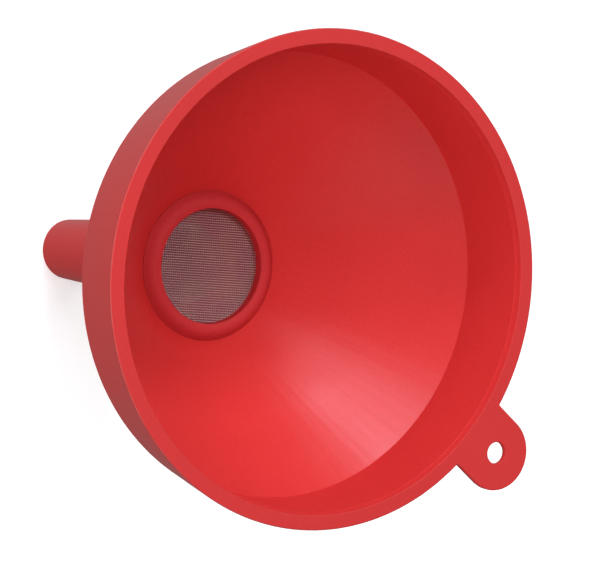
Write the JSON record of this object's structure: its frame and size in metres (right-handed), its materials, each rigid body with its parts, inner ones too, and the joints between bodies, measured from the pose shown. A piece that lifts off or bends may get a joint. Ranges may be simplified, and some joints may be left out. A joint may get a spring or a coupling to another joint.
{
  "type": "funnel",
  "caption": "Wide filling funnel with a flat lip, short collar, smooth cone, tapered spout, hanging tab and a lift-out wire cloth strainer.",
  "frame": {"origin": "centre of the spout's open end, the face that goes into a container first", "axes": "+Z along the funnel's axis from the spout's end to the mouth, +X from the axis towards the hanging tab, +Y to the left of the tab seen from above"},
  "size_m": [0.1811, 0.1598, 0.176],
  "materials": {
    "red_plastic": "satin moulded polyethylene",
    "ring_plastic": "satin moulded polyethylene",
    "wire_cloth": "fine drawn wire, plain weave"
  },
  "bodies": {
    "funnel": {"rim": "red_plastic", "cone": "red_plastic", "spout": "red_plastic", "hang_tab": "red_plastic"},
    "strainer": {"strainer_ring": "ring_plastic", "strainer_cloth": "wire_cloth"}
  },
  "joints": [
    {"name": "strainer_lift", "type": "slide", "parent": "funnel", "child": "strainer", "axis": [0, 0, 1], "range_m": [0, 0.11]}
  ]
}
